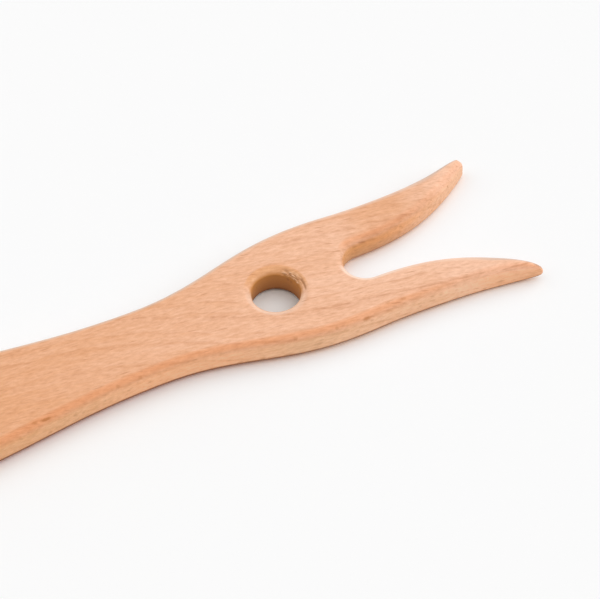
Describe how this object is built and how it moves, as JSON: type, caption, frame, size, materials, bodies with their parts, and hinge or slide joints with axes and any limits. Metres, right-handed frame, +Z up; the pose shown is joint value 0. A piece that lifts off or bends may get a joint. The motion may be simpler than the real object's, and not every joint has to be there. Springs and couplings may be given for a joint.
{
  "type": "lucet braiding fork",
  "caption": "Flat forked beech hand tool with blunt horns, a round eye drilled through the head, a narrow waist and a wide rounded handle, used to braid cord.",
  "frame": {"origin": "on the underside, on the centre line, half way along the overall length", "axes": "+X along the length towards the horns, +Z up through the thickness, +Y towards the blunter horn"},
  "size_m": [0.2, 0.0399, 0.007],
  "materials": {
    "beech": "sanded smooth, unvarnished"
  },
  "bodies": {
    "root": {"fork_body": "beech"}
  },
  "joints": []
}
